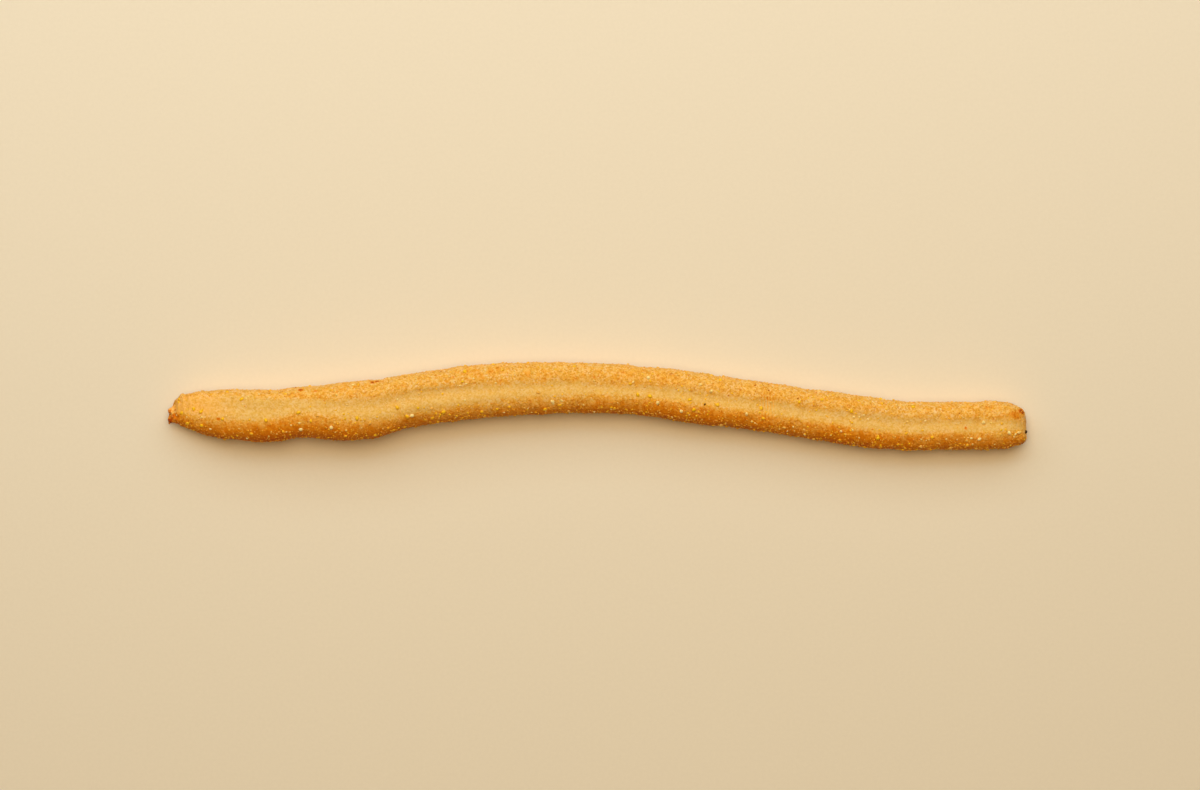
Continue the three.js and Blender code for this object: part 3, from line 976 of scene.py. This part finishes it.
def crust_map(grid):
    """Unwraps the crust in two long strips, one for each half, with their seam underneath."""
    steps = np.linalg.norm(np.diff(grid.points, axis=0), axis=-1).mean(axis=1)
    along = np.concatenate([[0], np.cumsum(steps)])
    length = along[-1] / 2
    sides = grid.points - np.roll(grid.points, 1, axis=1)
    around = np.linalg.norm(sides, axis=-1).sum(axis=1).max()
    scale = MAP_FILL / length
    strip = (along[1:] > length).astype(int)
    near = (along[:-1] - length * strip) * scale
    far = (along[1:] - length * strip) * scale
    turn = (np.arange(grid.sides) + grid.sides // 4) % grid.sides / grid.sides
    low = turn[None, :] * around * scale + (strip * (around * scale + MAP_GAP))[:, None]
    high = low + around * scale / grid.sides
    corners = [(near, low), (near, high), (far, high), (far, low)]
    unwrapped = [np.stack(np.broadcast_arrays(u[:, None], v), -1) for u, v in corners]
    return np.stack(unwrapped, -2).reshape(-1, 2) + MAP_GAP


def make_crust(settings):
    """The crust: rings joined in order, each end closed by small faces."""
    grid = CrustGrid(settings)
    rows = len(grid.places)
    faces = crust_faces(rows, grid.sides)
    points = grid.points.reshape(-1, 3)
    piece = new_piece("baked_crust", points, faces, crust_map(grid), crust_material(settings))
    close_ends(piece, rows, grid.sides)
    store_values(piece, "browning_and_painted_light", grid.baked)
    store_values(piece, "scorch", grid.burnt)
    store_values(piece, "grainy", grid.grainy)
    store_values(piece, "highlight_and_pale_crumb", grid.highlight_and_pale_crumb)
    store_values(piece, "crumb", 0.5 * grid.coarse_value + 0.5 * grid.fine_value)


def close_ends(piece, rows, sides):
    """Closes the two small holes at the very ends of the stick, and unwraps each as a disc."""
    body = bmesh.new()
    body.from_mesh(piece.data)
    body.verts.ensure_lookup_table()
    layer = body.loops.layers.uv[BAKE_MAP]
    first = [body.verts[side] for side in range(sides)]
    last = [body.verts[(rows - 1) * sides + side] for side in range(sides)]
    for place, ring in enumerate((first[::-1], last)):
        cap = body.faces.new(ring)
        cap.smooth = True
        for number, loop in enumerate(cap.loops):
            turn = 2 * math.pi * number / sides
            middle = MAP_CAP * (2 + 3 * place)
            loop[layer].uv = (
                middle + MAP_CAP * math.cos(turn), 1 - 2 * MAP_CAP + MAP_CAP * math.sin(turn),
            )
        bmesh.ops.triangulate(body, faces=[cap])
    body.to_mesh(piece.data)
    body.free()


def angles_seen_at(places):
    """The angles at which the top of the crust is seen at each x and y."""
    x, y = np.array(places, float).T
    low = np.zeros(len(x))
    high = np.full(len(x), math.pi)
    for halving in range(HALVINGS):
        middle = (low + high) / 2
        beyond = crust_points(x, middle)[:, 1] > y
        low = np.where(beyond, middle, low)
        high = np.where(beyond, high, middle)
    return (low + high) / 2


def grain_places(grid):
    """The larger grains where the solid has them: their places on the grid, and their sizes."""
    random = seeded_random(GRAIN_PLACE_SEED)
    placed = YELLOW_PLACES + PALE_PLACES
    spots = list(zip([x for x, y in placed], angles_seen_at(placed)))
    points = [crust_points(x, angle) for x, angle in spots]
    while len(spots) < GRAIN_COUNT:
        x = (HALF_LENGTH - GRAIN_END_GAP) * (2 * next(random) - 1)
        angle = 2 * math.pi * next(random)
        kept = next(random) < grain_chance(x, angle)
        point = crust_points(x, angle)
        crowded = np.linalg.norm(np.array(points) - point, axis=1).min() < GRAIN_SPACING
        if kept and not crowded and point[2] > GRAIN_FLOOR_GAP:
            spots.append((x, angle))
            points.append(point)
    spots = np.array(spots)
    share = np.sqrt(np.arange(GRAIN_COUNT) / GRAIN_COUNT)
    sizes = LARGEST_GRAIN + (SMALLEST_GRAIN - LARGEST_GRAIN) * share
    return grid.row_of(spots[:, 0]), grid.side_of(spots[:, 1]), sizes


def grain_chance(x, angle):
    """Grains are common on the flanks and rims, and rare in the furrow."""
    if math.sin(angle) < 0:
        return UNDERSIDE_GRAIN_SHARE
    from_middle = squared_off(math.cos(angle)) - curve_through(FURROW_MIDDLE_KNOTS, x)
    return 1 - FURROW_BARENESS * bell(from_middle, FURROW_BARE_SPREAD)


def template_lump(subdivisions):
    """A round lump one unit in radius: its corners, its faces and a flat map of both its halves."""
    body = bmesh.new()
    bmesh.ops.create_icosphere(body, subdivisions=subdivisions, radius=1)
    corners = np.array([vertex.co[:] for vertex in body.verts])
    faces = np.array([[vertex.index for vertex in face.verts] for face in body.faces])
    body.free()
    lower = corners[faces][..., 2].mean(axis=1) < 0
    flat = 0.5 + MAP_GRAIN * corners[faces][..., :2]
    flat[..., 0] = (flat[..., 0] + lower[:, None]) / 2
    return corners, faces, flat


def across_directions(outward, draw):
    """For each outward direction, two directions at right angles to it, turned at random."""
    random = draw.normal(size=outward.shape)
    first = np.cross(outward, random)
    first /= np.linalg.norm(first, axis=1, keepdims=True)
    return first, np.cross(outward, first)


class Grains:
    """Grains of one kind: where they lie on the crust's grid, their sizes and their shades."""

    def __init__(self, rows, sides, sizes, shades):
        self.rows = rows
        self.sides = sides
        self.sizes = sizes
        self.shades = shades

    def add_placed(self, grid, placed, draw, lowest_shade=0):
        """Adds grains with a place of their own, each from lowest_shade up to the palest."""
        x, y, sizes = np.array(placed, float).T
        angles = angles_seen_at([(place[0], place[1]) for place in placed])
        self.rows = np.append(self.rows, grid.row_of(x))
        self.sides = np.append(self.sides, grid.side_of(angles))
        self.sizes = np.append(self.sizes, sizes)
        self.shades = np.append(self.shades, draw.uniform(lowest_shade, 1, len(placed)))


def make_grains(name, grid, grains, materials, draw):
    """Joined grains of one kind, each a rough flat lump lying on the crust and sunk into it."""
    material, rise, subdivisions = GRAIN_FORMS[name]
    corners, faces, flat = template_lump(subdivisions)
    sizes = grains.sizes
    count = len(sizes)
    roughness = GRAIN_ROUGHNESS * (draw.random((count, len(corners), 1)) - 0.5)
    shape = corners[None] * (1 + roughness)
    points, outward = grid.place(grains.rows, grains.sides)
    outward = outward + GRAIN_TILT * draw.normal(size=outward.shape)
    outward /= np.linalg.norm(outward, axis=1, keepdims=True)
    first, second = across_directions(outward, draw)
    reach = sizes[:, None] / 2
    axes = np.stack([
        first * reach,
        second * reach * draw.uniform(*GRAIN_WIDTHS, (count, 1)),
        outward * reach * draw.uniform(*GRAIN_THICKNESSES, (count, 1)),
    ], 1)
    shape = np.einsum("nvk,nki->nvi", shape, axes)
    centres = points + outward * (sizes * rise)[:, None]
    vertices = centres[:, None, :] + shape
    vertices[..., 2] = np.maximum(vertices[..., 2], 0)
    vertices[..., 0] = np.clip(vertices[..., 0], -HALF_LENGTH, HALF_LENGTH)
    offsets = np.arange(count)[:, None, None] * len(corners)
    joined = (faces[None] + offsets).reshape(-1, 3)
    vertices = vertices.reshape(-1, 3)
    piece = new_piece(name, vertices, joined, grain_map(flat, count), materials[material])
    store_values(piece, "shade", np.repeat(grains.shades, len(corners)))


def grain_map(flat, count):
    """Gives each grain a small cell of the map's square."""
    columns = math.ceil(math.sqrt(count))
    number = np.arange(count)
    cell = np.stack([number % columns, number // columns], -1)
    return (cell[:, None, None, :] + flat[None]) / columns


def scatter(name, grid, count, chance, draw):
    """Grains at random places on the crust, kept by a chance that depends on where they are."""
    rows = np.empty(0)
    sides = np.empty(0)
    while len(rows) < count:
        more_rows = grid.row_of(draw.uniform(-HALF_LENGTH, HALF_LENGTH, count))
        more_sides = draw.uniform(0, grid.sides, count)
        kept = draw.random(count) < chance[more_rows.astype(int), more_sides.astype(int)]
        rows = np.append(rows, more_rows[kept])
        sides = np.append(sides, more_sides[kept])
    sizes = draw.uniform(*GRAIN_SIZES[name], count)
    return Grains(rows[:count], sides[:count], sizes, draw.random(count))


def patches_on(grid, patches):
    """How much each point of the crust lies in one of the round patches, seen from above."""
    total = np.zeros(grid.up.shape)
    for x, y, reach in patches:
        distance = np.hypot(grid.points[..., 0] - x, grid.points[..., 1] - y)
        total = np.maximum(total, bell(distance, reach))
    return total * (grid.up > 0)


def grain_materials(crust, settings):
    """The finishes of the grains, each with its shades, its roughness and its shine."""
    recipes = {
        "cornmeal_yellow": ((settings.yellow_colour, settings.amber_colour), 0.5, 0.3),
        "semolina_pale": (
            (settings.golden_colour, settings.pale_colour, settings.white_colour), 0.5, 0.3,
        ),
        "semolina_fine": (
            (settings.toasted_colour, settings.golden_colour, settings.amber_colour,
             settings.pale_colour), 0.6, 0.3,
        ),
        "toasted_crumbs": ((settings.burnt_colour, settings.toasted_colour), 0.65, 0.3),
        "burnt_specks": ((crust.burnt_colour, crust.toasted_colour), 0.8, 0.05),
    }
    return {name: grain_material(name, *recipe) for name, recipe in recipes.items()}


def make_large_grains(grid, materials, draw):
    """The larger cornmeal grains, where the solid has them, in two pieces by colour."""
    rows, sides, sizes = grain_places(grid)
    shades = draw.random(GRAIN_COUNT)
    placed_yellow = len(YELLOW_PLACES)
    placed = placed_yellow + len(PALE_PLACES)
    is_yellow = draw.random(GRAIN_COUNT) < YELLOW_SHARE
    is_yellow[:placed_yellow] = True
    is_yellow[placed_yellow:placed] = False
    shades[placed:][~is_yellow[placed:]] *= OTHER_PALE_SHADE
    shades[placed_yellow:placed] = from_least(LOWEST_PALE_SHADE, shades[placed_yellow:placed])
    shades[:placed_yellow] *= PLACED_YELLOW_SHADE
    for name, chosen in (("cornmeal_yellow", is_yellow), ("cornmeal_pale", ~is_yellow)):
        sunken = SUNKEN_SIZE * sizes[chosen]
        grains = Grains(rows[chosen], sides[chosen], sunken, shades[chosen])
        make_grains(name, grid, grains, materials, draw)


def make_fine_grains(grid, settings, materials, draw):
    """The fine semolina and cornmeal, and the toasted crumbs."""
    coated = 1 - grid.bare
    off_sole = 1 - SOLE_BARENESS * smooth_step(*SOLE_GRAIN_STEP, -grid.up)
    chance = (coated * COATED_CHANCE + BAND_CHANCE) * off_sole
    grains = scatter("semolina_fine", grid, settings.semolina_count, chance, draw)
    # Painted shade: the fine grains on the near flank, away from the lamps, are made darker
    flank = smooth_step(*FLANK_GRAIN_STEP, grid.across_at(grains.sides))
    grains.shades *= 1 - FLANK_GRAIN_PAINTED_SHADE * flank
    make_grains("semolina_fine", grid, grains, materials, draw)

    lower_edge = bell(grid.across - LOWER_EDGE, LOWER_EDGE_SPREAD)
    lower_edge *= 1 - TORN_END_BARENESS * grid.near_torn
    chance = YELLOW_ANYWHERE + YELLOW_LOWER_EDGE * lower_edge
    chance = (chance + YELLOW_IN_PATCHES * patches_on(grid, YELLOW_PATCHES)) * off_sole
    grains = scatter("cornmeal_fine", grid, settings.yellow_count, chance.clip(0, 1), draw)
    grains.add_placed(grid, YELLOW_CRUMBS, draw)
    make_grains("cornmeal_fine", grid, grains, materials, draw)

    flank = smooth_step(*PALE_FLANK_STEP, grid.across)
    rightward = smooth_step(*PALE_RIGHTWARD_STEP, grid.places)[:, None]
    chance = (PALE_ANYWHERE + PALE_ON_FLANK * flank) * coated * off_sole
    chance = chance * from_least(PALE_ON_LEFT, rightward)
    grains = scatter("semolina_pale", grid, settings.pale_count, chance, draw)
    grains.shades *= SCATTERED_PALE_SHADE
    grains.add_placed(grid, PALE_CRUMBS, draw, LOWEST_PALE_CRUMB_SHADE)
    make_grains("semolina_pale", grid, grains, materials, draw)

    grains = scatter("toasted_crumbs", grid, settings.crumb_count, coated * off_sole, draw)
    grains.add_placed(grid, TOASTED_TIP_CRUMBS, draw)
    make_grains("toasted_crumbs", grid, grains, materials, draw)


def make_burnt_specks(grid, materials, draw):
    """The few small specks of burnt crumb that lie on the crust."""
    nothing = np.empty(0)
    grains = Grains(nothing, nothing, nothing, nothing)
    grains.add_placed(grid, BURNT_SPECKS[:, :3], draw)
    grains.shades = BURNT_SPECKS[:, 3]
    make_grains("burnt_specks", grid, grains, materials, draw)


def colour_choice(name, description, default):
    """A colour that can be changed in the sidebar."""
    return FloatVectorProperty(
        name=name, description=description, default=default, subtype="COLOR", min=0, max=1,
    )


class CrustSettings(PropertyGroup):
    """Sizes and colours of the baked crust."""

    torn_rings: IntProperty(name="Torn end rings", description="Rings round the torn end", default=60)
    middle_rings: IntProperty(name="Middle rings", description="Rings between the ends", default=530)
    cut_rings: IntProperty(name="Cut end rings", description="Rings round the cut end", default=34)
    sides: IntProperty(name="Sides", description="Points in each ring", default=144)
    crumb_height: FloatProperty(
        name="Crumb height", description="How far the coated crust's crumbs stand out, in mm",
        default=0.15,
    )
    ripple_height: FloatProperty(
        name="Ripple height", description="Height of the fine ripples across the stick, in mm",
        default=0.022,
    )
    pale_colour: colour_choice("Pale crust", "Colour of the bare band", (0.80, 0.50, 0.122))
    golden_colour: colour_choice("Golden crust", "Colour of well baked crust", (0.86, 0.45, 0.064))
    brown_colour: colour_choice("Brown crust", "Colour of dark baked crust", (0.79, 0.265, 0.0045))
    dark_colour: colour_choice("Dark crust", "Colour of the darkest crust", (0.62, 0.142, 0.002))
    # The pale colour of the painted highlight on the torn end's top and far rim, and of the cut
    # face's real crumb
    highlight_and_crumb_colour: colour_choice(
        "Fair crust", "Colour of the smooth skin on the torn end", (0.95, 0.50, 0.095),
    )
    toasted_colour: colour_choice(
        "Toasted marks", "Colour of small toasted marks", (0.76, 0.225, 0.004),
    )
    scorched_colour: colour_choice(
        "Scorched marks", "Colour of deeper, redder marks", (0.5, 0.085, 0.002),
    )
    burnt_colour: colour_choice("Burnt marks", "Colour of small burnt marks", (0.02, 0.006, 0.002))


class GrainSettings(PropertyGroup):
    """Numbers and colours of the cornmeal and semolina."""

    semolina_count: IntProperty(
        name="Fine semolina", description="Number of the finest grains", default=6500,
    )
    pale_count: IntProperty(
        name="Pale semolina", description="Number of pale grains", default=300,
    )
    yellow_count: IntProperty(
        name="Fine cornmeal", description="Number of small yellow grains", default=600,
    )
    crumb_count: IntProperty(
        name="Toasted crumbs", description="Number of small toasted crumbs", default=110,
    )
    yellow_colour: colour_choice("Cornmeal", "Colour of the yellow grains", (1.0, 0.61, 0.005))
    amber_colour: colour_choice("Amber grains", "Colour of the amber grains", (0.94, 0.51, 0.022))
    golden_colour: colour_choice("Golden grains", "Colour of the baked grains", (0.87, 0.45, 0.058))
    pale_colour: colour_choice("Pale grains", "Colour of the pale grains", (0.93, 0.63, 0.16))
    white_colour: colour_choice("White grains", "Colour of the whitest grains", (1.0, 0.81, 0.37))
    toasted_colour: colour_choice(
        "Toasted crumbs", "Colour of the toasted crumbs", (0.82, 0.32, 0.022),
    )
    burnt_colour: colour_choice("Dark crumbs", "Colour of the darkest crumbs", (0.56, 0.175, 0.009))


class StudioSettings(PropertyGroup):
    """The floor, lights and camera."""

    floor_colour: colour_choice("Floor", "Colour of the pale floor", (0.815, 0.77, 0.65))
    key_power: FloatProperty(
        name="Key power", description="Power of the high soft light", default=1.664, unit="POWER",
    )
    key_size: FloatProperty(
        name="Key size", description="Width of the high soft light", default=0.63, unit="LENGTH",
    )
    key_distance: FloatProperty(
        name="Key distance", description="How far the high soft light is", default=1.0,
        unit="LENGTH",
    )
    key_height: FloatProperty(
        name="Key height", description="How high the high soft light stands",
        default=math.radians(68), unit="ROTATION",
    )
    key_turn: FloatProperty(
        name="Key turn", description="How far the high soft light stands round to the -X side",
        default=math.radians(10), unit="ROTATION",
    )
    wash_power: FloatProperty(
        name="Wash power", description="Power of the low wide light", default=2.41, unit="POWER",
    )
    wash_width: FloatProperty(
        name="Wash width", description="Width of the low wide light", default=1.2, unit="LENGTH",
    )
    wash_depth: FloatProperty(
        name="Wash depth", description="Depth of the low wide light", default=0.4, unit="LENGTH",
    )
    wash_distance: FloatProperty(
        name="Wash distance", description="How far the low wide light is", default=0.55,
        unit="LENGTH",
    )
    wash_height: FloatProperty(
        name="Wash height", description="How high the low wide light stands",
        default=math.radians(45), unit="ROTATION",
    )
    wash_turn: FloatProperty(
        name="Wash turn", description="How far the low wide light stands round to the -X side",
        default=math.radians(5), unit="ROTATION",
    )
    top_colour: colour_choice("Top light", "Colour of the warm light overhead", (1.0, 0.69, 0.338))
    top_power: FloatProperty(
        name="Top power", description="Power of the light overhead", default=8.73, unit="POWER",
    )
    top_size: FloatProperty(
        name="Top size", description="Width of the light overhead", default=0.8, unit="LENGTH",
    )
    top_height: FloatProperty(
        name="Top height", description="How high the light overhead stands",
        default=math.radians(85), unit="ROTATION",
    )
    top_distance: FloatProperty(
        name="Top distance", description="How far the light overhead is", default=1.2,
        unit="LENGTH",
    )
    day_colour: colour_choice(
        "Daylight", "Colour of the two lights from the side", (0.947, 0.992, 1.0),
    )
    fill_strength: FloatProperty(
        name="Fill strength", description="Strength of the light from all round", default=0.011,
    )
    lens: FloatProperty(name="Lens", description="Focal length in mm", default=100)


class BREADSTICK_OT_crust(Operator):
    """Bake the crust, with its furrow, crumbs, burnt marks and torn end"""

    bl_idname = "breadstick.crust"
    bl_label = "Bake the crust"

    def execute(self, context):
        make_crust(context.scene.breadstick_crust)
        return {"FINISHED"}


class BREADSTICK_OT_grains(Operator):
    """Scatter the cornmeal, the semolina and the toasted crumbs on the crust"""

    bl_idname = "breadstick.grains"
    bl_label = "Scatter the grains"

    def execute(self, context):
        crust = context.scene.breadstick_crust
        settings = context.scene.breadstick_grains
        grid = CrustGrid(crust)
        draw = np.random.default_rng(GRAIN_DRAW_SEED)
        materials = grain_materials(crust, settings)
        make_large_grains(grid, materials, draw)
        make_fine_grains(grid, settings, materials, draw)
        make_burnt_specks(grid, materials, draw)
        return {"FINISHED"}


class BREADSTICK_OT_studio(Operator):
    """Set out the pale floor, the soft lights and the camera"""

    bl_idname = "breadstick.studio"
    bl_label = "Set out the studio"

    def execute(self, context):
        settings = context.scene.breadstick_studio
        make_floor(settings)
        make_lights(settings)
        make_camera(settings)
        return {"FINISHED"}


def make_floor(settings):
    """A wide pale floor with a faint unevenness of tone."""
    make = NodeMaker("pale_floor")
    tone = make.ramp(make.noise(*FLOOR_NOISE), FLOOR_STOPS, FLOOR_TONES)
    colour = make.blend(1.0, with_alpha(settings.floor_colour), tone, "MULTIPLY")
    material = make.finish(**{
        "Base Color": colour, "Roughness": 0.85, "Specular IOR Level": 0.2,
    })
    mesh = bpy.data.meshes.new("floor")
    corners = [(-1, -1), (1, -1), (1, 1), (-1, 1)]
    mesh.from_pydata([(x * FLOOR_HALF, y * FLOOR_HALF, 0) for x, y in corners], [], [(0, 1, 2, 3)])
    mesh.materials.append(material)
    floor = bpy.data.objects.new("floor", mesh)
    bpy.context.scene.collection.objects.link(floor)


def soft_panel(name, size, power, distance, height, turn, colour):
    """A flat light that faces the stick from a height and a turn away from the +Y side."""
    light = bpy.data.lights.new(name, "AREA")
    light.shape = "RECTANGLE"
    light.size, light.size_y = size
    light.energy = power
    light.color = colour
    lamp = bpy.data.objects.new(name, light)
    level = math.cos(height)
    direction = Vector((-math.sin(turn) * level, math.cos(turn) * level, math.sin(height)))
    lamp.location = direction * distance
    lamp.rotation_euler = direction.to_track_quat("Z", "Y").to_euler()
    bpy.context.scene.collection.objects.link(lamp)


def make_lights(settings):
    """Two daylight panels from the far side, a warm one overhead and a weak fill all round."""
    scene = bpy.context.scene
    soft_panel(
        "key_light", (settings.key_size, settings.key_size), settings.key_power,
        settings.key_distance, settings.key_height, settings.key_turn, settings.day_colour,
    )
    soft_panel(
        "wash_light", (settings.wash_width, settings.wash_depth), settings.wash_power,
        settings.wash_distance, settings.wash_height, settings.wash_turn, settings.day_colour,
    )
    soft_panel(
        "top_light", (settings.top_size, settings.top_size), settings.top_power,
        settings.top_distance, settings.top_height, 0, settings.top_colour,
    )
    world = bpy.data.worlds.new("soft_fill")
    world.use_nodes = True
    background = world.node_tree.nodes["Background"]
    background.inputs[0].default_value = with_alpha(settings.top_colour)
    background.inputs[1].default_value = settings.fill_strength
    scene.world = world
    scene.view_settings.view_transform = "Standard"
    scene.view_settings.look = "None"


def make_camera(settings):
    """A camera straight above, framing the stick as the photograph does."""
    pixel = 2 * HALF_LENGTH * MM / STICK_PIXELS
    middle_height = (LOW_CORNER[2] + HIGH_CORNER[2]) / 2
    distance = PHOTO_WIDTH * pixel * settings.lens / SENSOR_WIDTH
    data = bpy.data.cameras.new("camera")
    data.lens = settings.lens
    data.sensor_width = SENSOR_WIDTH
    data.clip_start = NEAREST_SEEN
    data.clip_end = FARTHEST_SEEN
    camera = bpy.data.objects.new("camera", data)
    camera.location = (
        (PHOTO_MIDDLE[0] - STICK_MIDDLE[0]) * pixel,
        (STICK_MIDDLE[1] - PHOTO_MIDDLE[1]) * pixel,
        middle_height + distance,
    )
    bpy.context.scene.collection.objects.link(camera)
    bpy.context.scene.camera = camera


class BREADSTICK_PT_panel(Panel):
    """Lists the steps that make the breadstick"""

    bl_label = "Breadstick"
    bl_idname = "BREADSTICK_PT_panel"
    bl_space_type = "VIEW_3D"
    bl_region_type = "UI"
    bl_category = "Breadstick"

    def draw(self, context):
        for name in OPERATORS:
            self.layout.operator(name)


OPERATORS = ("breadstick.crust", "breadstick.grains", "breadstick.studio")
CLASSES = (
    CrustSettings, GrainSettings, StudioSettings,
    BREADSTICK_OT_crust, BREADSTICK_OT_grains, BREADSTICK_OT_studio, BREADSTICK_PT_panel,
)
SETTINGS = {
    "breadstick_crust": CrustSettings,
    "breadstick_grains": GrainSettings,
    "breadstick_studio": StudioSettings,
}


def register():
    """Adds the classes, and the settings to the scene."""
    for kind in CLASSES:
        bpy.utils.register_class(kind)
    for name, kind in SETTINGS.items():
        setattr(bpy.types.Scene, name, PointerProperty(type=kind))


def unregister():
    """Takes away what register added."""
    for name in SETTINGS:
        delattr(bpy.types.Scene, name)
    for kind in reversed(CLASSES):
        bpy.utils.unregister_class(kind)


def main():
    """Makes the breadstick and its studio."""
    register()
    bpy.ops.breadstick.crust()
    bpy.ops.breadstick.grains()
    bpy.ops.breadstick.studio()


if __name__ == "__main__":
    main()
